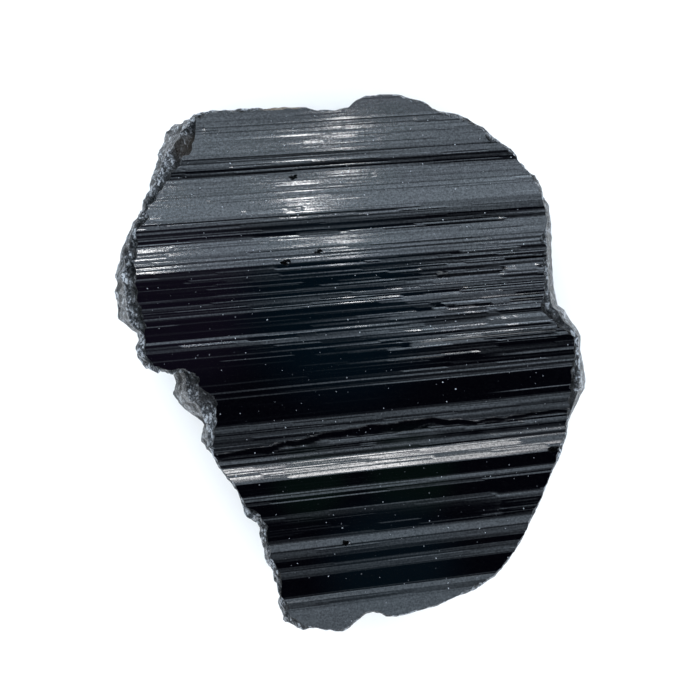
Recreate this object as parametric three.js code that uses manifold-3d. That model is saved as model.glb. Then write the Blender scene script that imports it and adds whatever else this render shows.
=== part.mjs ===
import * as THREE from 'three';
import Module from 'manifold-3d';
import { mergeVertices } from 'three/addons/utils/BufferGeometryUtils.js';

// A broken-out length of a black tourmaline prism, in millimetres, lying on one of its flat prism faces.
// The growth lines of the prism run almost along X, its striated front looks up, and both ends are breaks.
// The origin is under the middle of the piece, on the plane that it rests on.

// The prism before it broke.
const CREST_HEIGHT = 21.0;
const PRISM_HALF_LENGTH = 27.0;
const STATION_SPACING = 4.5;

// The growth lines rise to the right and fan out: they rise most at the lower edge.
const LINE_RISE_UPPER = 3.6;
const LINE_RISE_LOWER = 7.1;
const FAN_STARTS = 22;
const FAN_ENDS = -22;

// Facets of the front, from the upper edge to the lower one. Each row is the place across the prism where
// a facet starts and its tilt in degrees: above zero it looks to the upper edge, below zero to the lower.
const FRONT_FACETS = [
  [28.8, 19.5], [24.6, 20], [23.25, 27], [23.1, 21.8], [22.5, 22.3], [21.25, 12.9], [20.7, 19.2], [20.2, 9.8],
  [19.4, 22.3], [17.6, 18.5], [17.45, 25.9], [15.25, 17.5], [14.65, 12.7], [14.15, 8.3], [13.35, 13.5],
  [12.95, 23], [11.7, 20.9], [11.15, 12.5], [10.95, 22.2], [10.35, 8.7], [10.02, 14.9], [9.55, 7.9],
  [8.85, 9.5], [8.55, 7.2], [7.65, 15], [7.35, 5], [7.05, 15.7], [6.6, 8.5], [6.25, 14.3], [5.95, 21],
  [5.75, 3], [5.35, 10.5], [4.95, 3], [4.46, 15], [4.25, 3.2], [3.55, 25.5], [3.34, 12.5], [2.85, 15.7],
  [2.33, 9], [1.95, 14], [1.65, 3], [0.95, -6.5], [0.75, -1.4], [-1.35, -9.2], [-1.77, -18.5], [-1.93, -9.5],
  [-2.53, 0], [-5.05, -12.8], [-6.85, -48], [-7.05, -2], [-7.6, -13.6], [-8.1, -8.1], [-8.67, -25.5],
  [-8.95, -9], [-9.27, -27.4], [-11.06, -0.8], [-12.42, -17], [-12.88, -9.2], [-13.32, 0], [-14.5, -8.7],
  [-15.5, -3], [-17.1, -10.8], [-17.4, -21.5], [-18.1, -11.4], [-19.18, -1], [-19.77, -11.3], [-20.97, 0],
  [-22.7, -8.5], [-22.9, -22.5], [-23.38, -13], [-23.95, -17], [-24.15, -20.5], [-28.8, 0],
];

// Facet edges stray from straight lines by this much, and from their height by the second value.
const EDGE_STRAY = 0.05;
const EDGE_LIFT = 0.05;

// One ledge is broken off, so its two edges wander: each row is a place along X and how far they lie from
// their own rows there.
const LEDGE_ROWS = [-6.85, -7.05];
const LEDGE_BREAK = [
  [-27, -1.1], [-12.5, -1.0], [-8, -0.6], [-4, -0.1], [2, 0.35], [8, 0.5], [11.5, -0.25], [27, 0],
];

// The back, from the lower edge round to the upper one: place across the prism and height. The piece lies
// on the wide flat face between the two points at zero.
const BACK_EDGES = [
  [-28.7, 12.2], [-27.5, 10.9], [-27.0, 9.4], [-25.0, 7.7], [-24.6, 6.7], [-22.1, 4.7], [-21.8, 4.0],
  [-19.1, 2.3], [-18.6, 1.3], [-15.2, 0], [15.0, 0], [16.6, 1.4], [17.5, 1.7], [19.6, 4.1],
  [20.3, 4.4], [22.4, 7.1], [23.5, 7.7], [25.2, 10.3], [26.6, 11.1], [28.7, 12.6],
];

// Outline of the piece seen from above, clockwise from its upper left corner: X, Y, and how far inside the
// outline the striated front ends. Between the two, the break slopes down and out.
const OUTLINE = [
  [-15.4, 24.9, 0.4], [-13.8, 25.2, 0.2], [-10.0, 25.4, 0.15], [-6.0, 25.55, 0.1], [-4.4, 25.5, 0.1],
  [-3.2, 25.25, 0.1], [-1.6, 25.25, 0.1], [-0.2, 25.6, 0.1], [0.6, 26.3, 0.1], [1.6, 26.7, 0.1],
  [3.0, 26.85, 0.1], [4.6, 26.85, 0.1], [6.2, 26.4, 0.1], [7.4, 26.1, 0.1], [8.4, 25.4, 0.15],
  [9.6, 25.05, 0.3], [11.0, 24.75, 0.4], [12.2, 24.3, 0.5], [13.4, 23.4, 0.4], [14.4, 22.4, 0.4],
  [15.6, 21.7, 0.8], [16.6, 20.7, 0.4], [17.5, 19.4, 0.3], [18.4, 18.6, 0.4], [19.0, 17.5, 0.5],
  [19.3, 16.5, 0.5], [19.9, 15.6, 1.1], [20.05, 14.2, 1.2], [20.15, 12.2, 1.4], [20.2, 10.0, 1.3],
  [20.3, 7.7, 1.3], [20.6, 6.2, 1.4], [20.7, 5.7, 1.2], [21.4, 5.2, 1.4], [22.0, 4.3, 1.6],
  [22.6, 3.5, 1.2], [23.0, 2.6, 0.8], [22.95, 1.2, 0.6], [23.2, 0, 0.9], [23.5, -1.2, 1.3],
  [23.4, -2.6, 1.3], [22.9, -3.6, 0.8], [22.3, -4.9, 0.5], [21.7, -6.0, 0.2], [21.6, -7.0, 0.2],
  [21.2, -8.4, 0.2], [20.8, -9.6, 0.15], [20.2, -10.8, 0.1], [19.2, -13.3, 0.1], [18.0, -15.8, 0.1],
  [17.0, -18.0, 0.1], [15.8, -19.8, 0.15], [14.5, -21.4, 0.15], [13.0, -22.4, 0.15], [10.8, -23.5, 0.1],
  [8.6, -24.4, 0.1], [6.4, -25.0, 0.1], [4.6, -25.55, 0.1], [3.6, -25.5, 0.1], [3.0, -25.1, 0.1],
  [2.3, -24.95, 0.1], [1.6, -25.2, 0.1], [0.8, -25.8, 0.1], [0, -26.5, 0.1], [-0.7, -26.9, 0.1],
  [-2.4, -26.8, 0.1], [-3.8, -26.6, 0.15], [-4.7, -26.75, 0.3], [-5.8, -26.2, 0.6], [-6.6, -25.7, 0.8],
  [-6.9, -24.6, 0.8], [-7.1, -23.3, 0.8], [-7.25, -22.1, 0.6], [-7.6, -20.9, 0.6], [-8.3, -19.8, 0.9],
  [-8.7, -18.3, 0.9], [-8.9, -16.8, 0.9], [-9.2, -16.0, 1.0], [-10.3, -15.5, 0.8], [-10.7, -14.3, 0.3],
  [-11.2, -13.1, 0.2], [-11.9, -12.0, 0.15], [-12.8, -10.9, 0.15], [-13.6, -9.4, 0.15], [-14.4, -8.5, 1.2],
  [-14.8, -7.4, 1.7], [-14.7, -6.3, 2.0], [-15.4, -5.4, 2.3], [-16.1, -4.7, 2.8], [-17.2, -4.1, 3.2],
  [-17.7, -3.0, 2.9], [-17.4, -2.1, 2.2], [-17.9, -1.1, 2.0], [-19.2, -0.8, 1.3], [-20.3, -0.6, 0.9],
  [-20.9, 0.4, 0.9], [-21.3, 1.3, 1.0], [-21.0, 2.2, 0.8], [-21.2, 2.9, 0.9], [-22.2, 3.6, 1.8],
  [-23.1, 4.4, 2.7], [-23.4, 5.7, 2.7], [-23.55, 7.2, 2.6], [-23.5, 8.5, 2.3], [-23.2, 9.7, 1.8],
  [-22.7, 11.2, 1.4], [-22.3, 12.7, 1.3], [-21.7, 14.1, 1.1], [-20.9, 15.3, 0.9], [-20.7, 16.2, 1.0],
  [-20.0, 17.1, 0.8], [-19.7, 18.2, 1.2], [-19.4, 19.7, 1.8], [-19.2, 21.2, 2.8], [-18.8, 22.6, 3.1],
  [-18.0, 23.6, 3.0], [-17.0, 24.1, 2.0], [-16.0, 24.3, 0.8],
];

// The broken sides: the height that the cutting shape reaches over and under the prism, the share of the rim
// that the chamfer's ridge stands in from the outline, the least depth of that ridge and of the widest line
// under the front with what each adds for a wide rim, and how fast the two ends and the two long edges lean
// in below the widest line.
const CUT_ABOVE = 3.0;
const CUT_BELOW = -2.0;
const RIDGE_PLACE = 0.45;
const RIDGE_DEPTH = 0.3;
const RIDGE_FALL = 0.3;
const WIDEST_DEPTH = 0.9;
const WIDEST_FALL = 1.5;
const END_LEAN = 0.26;
const EDGE_LEAN = 0.04;

// The break is lumpy at two sizes, each with the depth of its lumps and the distance between them. Further
// down it leaves the small bays of the outline behind, by this share of its height, and follows the mean
// of the outline over the bay length. Its levels stray up and down a little.
const LARGE_LUMPS = { depth: 1.6, spacing: 7.5 };
const SMALL_LUMPS = { depth: 0.6, spacing: 2.4 };
const BAY_LENGTH = 9.0;
const BAYS_GONE = 0.35;
const SIDE_LEVELS = 9;
const SIDE_STRAY = 0.5;

// Small pits in the front: X, Y and radius. Each is longer along X by the stretch, and its corners stray.
const PITS = [
  [-6.35, 9.95, 0.33], [-3.1, 11.0, 0.28], [-5.7, 18.5, 0.3], [20.35, -8.7, 0.33], [-0.4, -18.1, 0.3],
];
const PIT_STRETCH = 1.6;
const PIT_STRAY = 0.25;

const CRYSTAL_COLOUR = 0x121319;
const CRYSTAL_ROUGHNESS = 0.22;

const radians = THREE.MathUtils.degToRad;
const { clamp, lerp, smoothstep } = THREE.MathUtils;

// Value between -1 and 1 that belongs to a whole-number pair, always the same for the same pair.
function scatter(i, j) {
  const s = Math.sin(i * 127.1 + j * 311.7) * 43758.5453;
  return 2 * (s - Math.floor(s)) - 1;
}

// Smooth field of lumps: the scattered values of the four nearest corners, blended.
function lumps(a, b) {
  const i = Math.floor(a);
  const j = Math.floor(b);
  const u = smoothstep(a - i, 0, 1);
  const w = smoothstep(b - j, 0, 1);
  return lerp(lerp(scatter(i, j), scatter(i + 1, j), u), lerp(scatter(i, j + 1), scatter(i + 1, j + 1), u), w);
}

// Straight-line interpolation in a list of [place, value] rows whose places rise.
function between(rows, place) {
  const at = clamp(place, rows[0][0], rows[rows.length - 1][0]);
  const k = Math.max(1, rows.findIndex(([p]) => p >= at));
  const [p0, v0] = rows[k - 1];
  const [p1, v1] = rows[k];
  return lerp(v0, v1, (at - p0) / (p1 - p0));
}

// Rise of a growth line per millimetre of X, for the line that crosses X = 0 at this place.
function lineRise(across) {
  const down = clamp((FAN_STARTS - across) / (FAN_STARTS - FAN_ENDS), 0, 1);
  return Math.tan(radians(lerp(LINE_RISE_UPPER, LINE_RISE_LOWER, down)));
}

// The place across the prism of a point seen from above: the growth line through it, followed to X = 0.
function acrossAt(x, y) {
  let across = y;
  for (let step = 0; step < 6; step += 1) across = y - x * lineRise(across);
  return across;
}

// Height of each front facet edge, walked down the tilts and then raised so that the highest is the crest.
function frontProfile() {
  const edges = [[FRONT_FACETS[0][0], 0]];
  for (let k = 1; k < FRONT_FACETS.length; k += 1) {
    const [place, tilt] = FRONT_FACETS[k - 1];
    const width = place - FRONT_FACETS[k][0];
    edges.push([FRONT_FACETS[k][0], edges[k - 1][1] + width * Math.tan(radians(tilt))]);
  }
  const top = Math.max(...edges.map(([, z]) => z));
  return edges.map(([place, z]) => [place, z + CREST_HEIGHT - top]);
}

const FRONT_EDGES = frontProfile();
const FRONT_BY_PLACE = [...FRONT_EDGES].reverse();

// Height of the front at a point seen from above.
function frontHeight(x, y) {
  return between(FRONT_BY_PLACE, acrossAt(x, y));
}

// One closed section of the prism: the front edges, then the back ones, as points at this X.
function section(x, station) {
  const front = FRONT_EDGES.map(([place, z], row) => {
    const stray = LEDGE_ROWS.includes(place) ? between(LEDGE_BREAK, x) : EDGE_STRAY * scatter(station, row);
    return [place + stray, z + EDGE_LIFT * scatter(row, station)];
  });
  return [...front, ...BACK_EDGES].map(([across, z]) => [x, across + x * lineRise(across), z]);
}

// A solid from rings of points that are all equally long, closed by a fan to a middle point at each end.
function solidFromRings(rings) {
  const count = rings[0].length;
  const middle = (ring) => [0, 1, 2].map((c) => ring.reduce((sum, p) => sum + p[c], 0) / count);
  const points = [...rings.flat(), middle(rings[0]), middle(rings[rings.length - 1])];
  const startMiddle = points.length - 2;
  const endMiddle = points.length - 1;
  const lastRing = (rings.length - 1) * count;
  const faces = [];
  for (let k = 0; k < count; k += 1) {
    const next = (k + 1) % count;
    for (let r = 0; r < lastRing; r += count) {
      faces.push([r + k, r + next, r + count + next], [r + k, r + count + next, r + count + k]);
    }
    faces.push([startMiddle, next, k], [endMiddle, lastRing + k, lastRing + next]);
  }
  const signed = faces.reduce((sum, [a, b, c]) => {
    const [p, q, s] = [points[a], points[b], points[c]].map((v) => new THREE.Vector3(...v));
    return sum + p.dot(q.cross(s));
  }, 0);
  const outward = signed > 0 ? faces : faces.map(([a, b, c]) => [a, c, b]);
  return new wasm.Manifold(new wasm.Mesh({
    numProp: 3,
    vertProperties: new Float32Array(points.flat()),
    triVerts: new Uint32Array(outward.flat()),
  }));
}

// The whole prism, longer and wider than the piece that broke out of it.
function prism() {
  const stations = Math.round((2 * PRISM_HALF_LENGTH) / STATION_SPACING);
  const rings = [];
  for (let station = 0; station <= stations; station += 1) {
    rings.push(section(lerp(-PRISM_HALF_LENGTH, PRISM_HALF_LENGTH, station / stations), station));
  }
  return solidFromRings(rings);
}

// Mean distance from the middle of the outline points that lie within half a bay of this one.
function meanRadius(x, y) {
  const near = OUTLINE.filter(([px, py]) => Math.hypot(px - x, py - y) < BAY_LENGTH / 2);
  return near.reduce((sum, [px, py]) => sum + Math.hypot(px, py), 0) / near.length;
}

// How far the lumps of one size stand back from the widest line, at a place along the outline and a height.
function lumpInset({ depth, spacing }, along, z) {
  return depth * (0.5 + 0.5 * lumps(along / spacing, z / spacing));
}

// The broken sides as one upright cutting shape. Each outline point has a column of points: two at the end
// of the front, one on the chamfer's ridge, one at the widest line, and the lumpy side that leans in below it.
function breakShape() {
  let along = 0;
  const columns = OUTLINE.map(([x, y, rim], k) => {
    const [px, py] = OUTLINE[(k + OUTLINE.length - 1) % OUTLINE.length];
    along += Math.hypot(x - px, y - py);
    const radius = Math.hypot(x, y);
    const mean = meanRadius(x, y);
    const outAt = (distance, z) => [(x * distance) / radius, (y * distance) / radius, z];
    const front = frontHeight(...outAt(radius - rim, 0));
    const widest = front - WIDEST_DEPTH - WIDEST_FALL * rim - SIDE_STRAY * Math.abs(scatter(k, 0));
    const lean = lerp(EDGE_LEAN, END_LEAN, (x / radius) ** 2);
    const column = [
      outAt(radius - rim, CREST_HEIGHT + CUT_ABOVE),
      outAt(radius - rim, front),
      outAt(radius - RIDGE_PLACE * rim, front - RIDGE_DEPTH - RIDGE_FALL * rim),
      outAt(radius, widest),
    ];
    for (let level = 1; level <= SIDE_LEVELS; level += 1) {
      const share = level / SIDE_LEVELS;
      const z = lerp(widest, CUT_BELOW, share) + SIDE_STRAY * scatter(k, level) * (1 - share);
      const deep = smoothstep(share, 0, BAYS_GONE);
      const lumpy = deep * lumpInset(LARGE_LUMPS, along, z) + lumpInset(SMALL_LUMPS, along, z);
      column.push(outAt(Math.min(radius, lerp(radius, mean, deep) - (widest - z) * lean - lumpy), z));
    }
    return column;
  });
  const levels = columns[0].map((_, level) => columns.map((column) => column[level]));
  return solidFromRings(levels);
}

// A small irregular dent, as a solid to cut away: an icosahedron with each corner moved a little.
function pit([x, y, radius], seed) {
  const shape = new THREE.IcosahedronGeometry(radius, 0);
  shape.deleteAttribute('normal');
  shape.deleteAttribute('uv');
  const merged = mergeVertices(shape);
  const places = merged.attributes.position;
  for (let k = 0; k < places.count; k += 1) {
    const swell = 1 + PIT_STRAY * scatter(k, seed);
    places.setXYZ(k, PIT_STRETCH * swell * places.getX(k), swell * places.getY(k), swell * places.getZ(k));
  }
  merged.translate(x, y, frontHeight(x, y));
  return new wasm.Manifold(new wasm.Mesh({
    numProp: 3,
    vertProperties: new Float32Array(places.array),
    triVerts: new Uint32Array(merged.index.array),
  }));
}

function geometryOf(solid) {
  const { vertProperties, triVerts } = solid.getMesh();
  const geometry = new THREE.BufferGeometry();
  geometry.setAttribute('position', new THREE.BufferAttribute(new Float32Array(vertProperties), 3));
  geometry.setIndex(new THREE.BufferAttribute(new Uint32Array(triVerts), 1));
  geometry.computeVertexNormals();
  return geometry;
}

const wasm = await Module();
wasm.setup();

let crystalSolid = prism().intersect(breakShape());
PITS.forEach((place, k) => {
  crystalSolid = crystalSolid.subtract(pit(place, k));
});

const tourmaline = new THREE.MeshStandardMaterial({
  color: CRYSTAL_COLOUR,
  roughness: CRYSTAL_ROUGHNESS,
  metalness: 0,
  flatShading: true,
});
const crystal = new THREE.Mesh(geometryOf(crystalSolid), tourmaline);
crystal.name = 'tourmaline_crystal';

const piece = new THREE.Group();
piece.add(crystal);

export default piece;
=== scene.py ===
import math

import bpy
import numpy as np
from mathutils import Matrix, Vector


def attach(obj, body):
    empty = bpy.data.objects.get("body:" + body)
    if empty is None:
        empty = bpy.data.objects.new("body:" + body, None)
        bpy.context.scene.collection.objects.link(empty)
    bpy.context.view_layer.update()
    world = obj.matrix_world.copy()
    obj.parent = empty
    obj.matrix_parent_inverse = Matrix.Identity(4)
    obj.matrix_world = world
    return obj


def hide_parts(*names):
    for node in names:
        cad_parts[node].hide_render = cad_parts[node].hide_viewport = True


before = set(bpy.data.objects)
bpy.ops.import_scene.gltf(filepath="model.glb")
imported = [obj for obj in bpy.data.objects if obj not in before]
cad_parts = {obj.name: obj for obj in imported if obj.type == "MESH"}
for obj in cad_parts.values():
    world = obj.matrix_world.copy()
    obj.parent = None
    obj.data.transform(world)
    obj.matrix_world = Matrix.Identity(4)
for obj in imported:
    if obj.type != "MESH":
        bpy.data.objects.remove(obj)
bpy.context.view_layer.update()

# The striated prism.
# The crystal is one broken-out length of a black tourmaline prism. Its front is a stack of long, narrow
# growth facets that run almost along X and fan out to the right, with steps of about a tenth of a millimetre.
# They grew as flat glossy faces, so each is a strip of flat mesh. Sizes here are millimetres and degrees.

MM = 0.001
CREST_HEIGHT = 21.0
PRISM_HALF_LENGTH = 27.0
# Spacing of the mesh along X and of the growth lines across it, and the share of it by which a line strays.
STATION_SPACING = 0.45
LINE_SPACING = 0.115
LINE_JITTER = 0.35

# Growth lines rise to the right by these angles at the two places across the prism between which they fan
# out. A line is followed back to X = 0 in rounds, each of which brings its place over 20 times nearer.
LINE_RISE_UPPER = 3.6
LINE_RISE_LOWER = 7.1
FAN_STARTS = 22.0
FAN_ENDS = -22.0
FAN_ROUNDS = 6

# Main facets from the upper edge to the lower one: the place across the prism where each starts, its tilt
# (above zero it looks to the upper edge), and how much the tilt of the fine lines on it strays.
FRONT_FACETS = np.array([
    (28.8, 19.5, 0.6), (24.6, 20, 1.4), (23.25, 27, 1.5), (23.1, 23, 1.5), (22.85, 20.8, 1),
    (22.5, 22.6, 1.2), (21.6, 20.5, 1.5), (21.5, 22, 1.5), (21.25, 11, 3), (21.05, 15.5, 3), (20.85, 12, 3),
    (20.7, 21, 3), (20.45, 17.5, 3), (20.2, 8, 3), (19.95, 12, 3), (19.75, 9.3, 2.5), (19.4, 19.5, 2),
    (19.2, 22.4, 0.9), (18.2, 22.9, 0.9), (17.6, 18.5, 3), (17.45, 25.6, 2), (16.95, 23.8, 2),
    (16.75, 26.8, 0.7), (15.9, 25.8, 1.3), (15.25, 15, 2.5), (14.95, 20, 2.5), (14.65, 10, 2.5),
    (14.45, 14.5, 3), (14.15, 7.5, 2), (13.85, 10.5, 2.5), (13.65, 7.5, 2.5), (13.35, 13.5, 3),
    (12.95, 22.3, 1.6), (12.2, 24, 1.4), (11.7, 19, 3), (11.45, 22.5, 2), (11.15, 12.5, 2), (10.95, 24.5, 2),
    (10.75, 18.5, 2.5), (10.55, 23.5, 2), (10.35, 13.5, 2.5), (10.25, 6.5, 2.5), (10.02, 15.5, 3),
    (9.75, 14, 3), (9.55, 9, 3), (9.1, 6, 2.5), (8.85, 9.5, 3), (8.55, 6.3, 2.5), (8.3, 7.5, 2.5),
    (7.65, 15, 3), (7.35, 5, 2.5), (7.05, 16, 3), (6.82, 13.5, 2), (6.74, 16.5, 2), (6.6, 8.5, 3),
    (6.25, 14.3, 3), (5.95, 21, 2), (5.75, 3, 2), (5.35, 10.5, 3), (4.95, 3, 2.5), (4.46, 15, 4),
    (4.25, 2, 2), (3.63, 12, 2), (3.55, 25.5, 2.5), (3.34, 12.5, 3.5), (2.85, 18.5, 3), (2.65, 14, 3),
    (2.33, 9, 3), (1.95, 14, 3), (1.65, 3, 2.5), (0.95, -6.5, 1.5), (0.75, 1, 1.5), (0.15, -6.5, 1.5),
    (-0.4, 0, 1.4), (-1.35, -10, 1.8), (-1.6, -8, 1.8), (-1.77, -18.5, 3), (-1.93, -7.5, 1.5),
    (-2.23, -11.5, 1.8), (-2.53, 0, 1.0), (-5.05, -8, 1.5), (-5.2, -13.5, 1.5), (-5.5, -15.3, 1.5),
    (-5.83, -10.3, 1.5), (-6.13, -14.5, 1.5), (-6.45, -12, 1.5), (-6.85, -48, 4), (-7.05, -2, 4),
    (-7.5, -14.5, 5), (-7.95, -11, 5), (-8.1, -4, 3), (-8.25, -9.5, 3), (-8.67, -25.5, 2.5), (-8.95, -9, 3),
    (-9.27, -26, 1.5), (-9.4, -28.5, 1.3), (-10.0, -26.2, 1.5), (-10.18, -27.6, 1.5), (-10.6, -28.6, 1.5),
    (-10.94, -19, 2), (-11.06, 0, 1.2), (-12.28, -8, 2), (-12.42, -17, 1.5), (-12.88, -6, 2),
    (-13.04, -11, 3), (-13.32, 0, 0.6), (-14.5, -10.8, 1), (-14.95, -8, 1), (-15.2, -5.5, 1),
    (-15.5, -3, 1.5), (-17.1, -9, 1), (-17.28, -13.5, 1), (-17.4, -21.5, 0.8), (-18.1, -9.5, 2),
    (-18.27, -13.2, 1.2), (-18.7, -10.2, 1.2), (-19.18, -1, 1), (-19.77, -11, 1.5), (-20.07, -9, 1),
    (-20.22, -13, 1.2), (-20.7, -11, 1), (-20.97, 0, 0.8), (-22.7, -8.5, 1), (-22.9, -22.5, 0.7),
    (-23.38, -13, 0.8), (-23.95, -16.5, 0.6), (-24.15, -20.5, 0.4), (-28.8, 0, 0),
])

# Stretches of facets that differ from the rest of their length, first the finely stepped right-hand ends and
# then a few left-hand ones: place across from and to, X from and to, tilt, and stray of the lines.
LOCAL_FACETS = [
    (21.15, 20.75, 4, 30, 20, 3), (19.4, 19.2, 9, 30, 9, 2), (15.25, 14.6, 4, 30, 20, 3),
    (14.65, 14.45, 9, 30, 17, 4), (13.85, 13.55, 14, 30, 18, 4), (13.35, 13.05, 14, 30, 20, 4),
    (10.05, 9.5, 9, 30, 15.5, 5), (9.45, 8.85, 9.5, 14.5, 17, 5), (9.45, 8.85, 14.5, 30, 13.5, 6),
    (8.85, 8.65, 5, 9.5, 15, 3), (8.85, 8.65, 9.5, 30, 22, 3), (8.5, 8.3, 14.5, 30, 18, 4),
    (8.3, 7.9, 9.5, 30, 17.5, 6), (8.3, 7.9, 5, 9.5, 11, 3), (7.8, 7.5, 9.5, 14.5, 17, 4),
    (7.5, 7.1, 4, 14.5, 16.5, 3), (7.5, 7.1, 14.5, 30, 11, 3), (7.15, 6.65, 4.5, 14.5, 18.5, 3),
    (6.3, 5.95, 10, 30, 19, 4), (5.75, 5.5, 5, 30, 13.5, 3), (5.3, 4.8, 10, 30, 18, 5),
    (4.8, 4.6, 10, 14.5, 13, 4), (4.75, 4.5, 14.5, 30, 21, 4), (4.35, 4.05, 4, 30, 21, 3),
    (4.05, 3.85, 14.5, 30, 22, 3), (3.6, 3.3, 3.5, 30, 12, 3), (3.3, 2.95, 4, 14.5, 16, 4),
    (3.2, 2.85, 14.5, 30, 28, 2), (2.85, 2.5, 4, 30, 25, 3), (2.5, 2.2, 6, 30, 22, 4),
    (1.95, 1.65, 4, 30, 24, 2.5), (1.6, 1.3, 6, 30, 13, 4), (1.0, 0.7, 4, 14.5, 14, 3),
    (1.1, 0.75, 14.5, 30, 19, 4), (-0.1, -0.4, 5, 14, -12.5, 3), (-0.5, -0.7, 15, 30, -16, 3),
    (-2.4, -2.53, 5, 30, -19, 2), (-4.35, -4.5, 15.5, 30, -26, 2), (-14.6, -16.9, 15, 30, -12, 9),
    (7.65, 7.35, -30, -7, 9.5, 3), (7.05, 6.6, -30, -7, 10, 3), (6.25, 5.95, -30, -7, 8, 3),
    (4.46, 4.25, -30, -7, 7, 2), (3.63, 3.34, -30, -7, 19, 2), (1.95, 1.65, -30, -3, 6.5, 2),
]
LOCAL_END_STRAY = 1.6
LOCAL_BLEND = 2.0
# What all this lifts the crest by is taken off again to this share, blended over this length along X.
SETTLED_SHARE = 0.65
SETTLED_BLEND = 8.0

# Between two places across the prism the facets are flatter at their left ends, and their fine lines stray
# more than elsewhere, most at the right: X, by how many degrees flatter, and the factor of the stray.
BUSY_ZONE = (10.4, -2.4)
BUSY_CHANGE = np.array([(-12, 6.0, 1.2), (-3, 3.2, 1.2), (8, -0.8, 2.3)])

# The ledge whose edge is broken: the places where the plain edge starts and ends, how far the broken edge
# lies from there at each X, how far and at what length along X it is ragged, and the tilt and stray of the
# facet above the edge, of the edge, and of the rough strip below it. The change of height that this makes is
# evened out between two places, and its small ups and downs only within the rough strip.
LEDGE_ROWS = (-6.85, -7.05)
LEDGE_BREAK = np.array([
    (-27, -1.1), (-12.5, -1.0), (-8, -0.6), (-4, -0.1), (2, 0.35), (8, 0.5), (11.5, -0.25), (27, 0),
])
LEDGE_RAGGED = 0.15
LEDGE_RAGGED_LENGTH = 0.9
LEDGE_TILTS = [(-13, 1.2), (-48, 4), (-2, 5)]
LEDGE_EVENED = (-5.8, -8.6)
LEDGE_STRIP = (-7.5, -8.6)
# How far below the edge the stone is crumbled and dull at each X, the share by which that varies, and at
# what length.
LEDGE_CRUMBLED = np.array([
    (-16, 0.05), (-9, 0.4), (-4, 0.5), (2, 0.75), (6, 0.8), (9, 0.4), (13, 0.15), (27, 0.05),
])
CRUMBLED_STRAY = 0.5
CRUMBLED_LENGTH = 1.3

# The tilt of a fine line strays by so many times the stray of its facet. Of that, one share belongs to the
# line, one to a stretch of it, and one to a stretch of a group of lines. Along X a line's stretches have a
# length and a spread of it, a group's have a length, and all are shifted from a start left of the prism.
STRAY_TIMES = 1.5
LINE_STRAY = 0.6
STRETCH_STRAY = 0.5
GROUP_STRAY = 0.6
STRETCH_LENGTH = 13
STRETCH_SPREAD = 9
GROUP_LINES = 3
GROUP_LENGTH = 17
STRETCH_START = 60
STRETCH_SHIFT = 20

# Some stretches tilt much more or less than their facet: the share of them, by how many times the stray, and
# the spread of that. Below the first tilt a facet looks to the lower edge. From the second on it is bright,
# and such stretches of it tilt less.
STEEP_SHARE = 0.22
STEEP_TIMES = 3.0
STEEP_SPREAD = 0.4
LOWER_TILT = -2
BRIGHT_TILT = 14

# The gentle waves of the front and the wander of its lines: size, length along X and length across.
WAVES = (0.02, 9, 3.1)
WANDER = (0.03, 7, 1.1)

# The back, from the lower edge round to the upper one: place across the prism and height. Its lines have a
# spacing, steps of a height, and stretches of a length along X.
BACK_EDGES = np.array([
    (-28.7, 12.2), (-27.5, 10.9), (-27.0, 9.4), (-25.0, 7.7), (-24.6, 6.7), (-22.1, 4.7), (-21.8, 4.0),
    (-19.1, 2.3), (-18.6, 1.3), (-15.2, 0), (15.0, 0), (16.6, 1.4), (17.5, 1.7), (19.6, 4.1),
    (20.3, 4.4), (22.4, 7.1), (23.5, 7.7), (25.2, 10.3), (26.6, 11.1), (28.7, 12.6),
])
BACK_LINE_SPACING = 0.4
BACK_STEP = 0.05
BACK_LENGTH = 9

# The fraction of a large sine is as good as random: its turns for the two whole numbers, and its size.
SINE_TURNS = (127.1, 311.7)
SINE_SIZE = 43758.5453


def scatter(i, j):
    """Value between -1 and 1 that belongs to a pair of whole numbers: twice the fraction of a large sine of
    their weighted sum, less 1. The second number mostly says which of many draws this is."""
    s = np.sin(i * SINE_TURNS[0] + j * SINE_TURNS[1]) * SINE_SIZE
    return 2 * (s - np.floor(s)) - 1


def lumps(a, b):
    """Smooth field over a plane: the scattered values of the four nearest whole-number corners, blended with
    the weight 3t^2 - 2t^3 in each direction. A fixed number as b gives one of many fields along a."""
    i, j = np.floor(a), np.floor(b)
    u, w = a - i, b - j
    u, w = u * u * (3 - 2 * u), w * w * (3 - 2 * w)
    low = scatter(i, j) * (1 - u) + scatter(i + 1, j) * u
    high = scatter(i, j + 1) * (1 - u) + scatter(i + 1, j + 1) * u
    return low * (1 - w) + high * w


def line_rise(across):
    """Rise of a growth line per millimetre of X: the tangent of an angle that goes evenly from the upper to
    the lower value between the two places of the fan."""
    down = np.clip((FAN_STARTS - across) / (FAN_STARTS - FAN_ENDS), 0, 1)
    return np.tan(np.radians(LINE_RISE_UPPER + (LINE_RISE_LOWER - LINE_RISE_UPPER) * down))


def across_at(x, y):
    """Place across the prism of a point seen from above: the growth line through it followed to X = 0."""
    across = y
    for _ in range(FAN_ROUNDS):
        across = y - x * line_rise(across)
    return across


def facet_heights():
    """Height of each main facet edge: the widths of the facets times the tangents of their tilts, summed from
    the upper edge, and raised so that the highest edge is the crest."""
    place, tilt = FRONT_FACETS[:, 0], FRONT_FACETS[:, 1]
    falls = (place[:-1] - place[1:]) * np.tan(np.radians(tilt[:-1]))
    heights = np.concatenate([[0], np.cumsum(falls)])
    return heights + CREST_HEIGHT - heights.max()


facet_height = facet_heights()


def front_height(x, y):
    """Height of the main facets at a point seen from above, along straight lines between their edges."""
    return np.interp(across_at(x, y), FRONT_FACETS[::-1, 0], facet_height[::-1])


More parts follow.
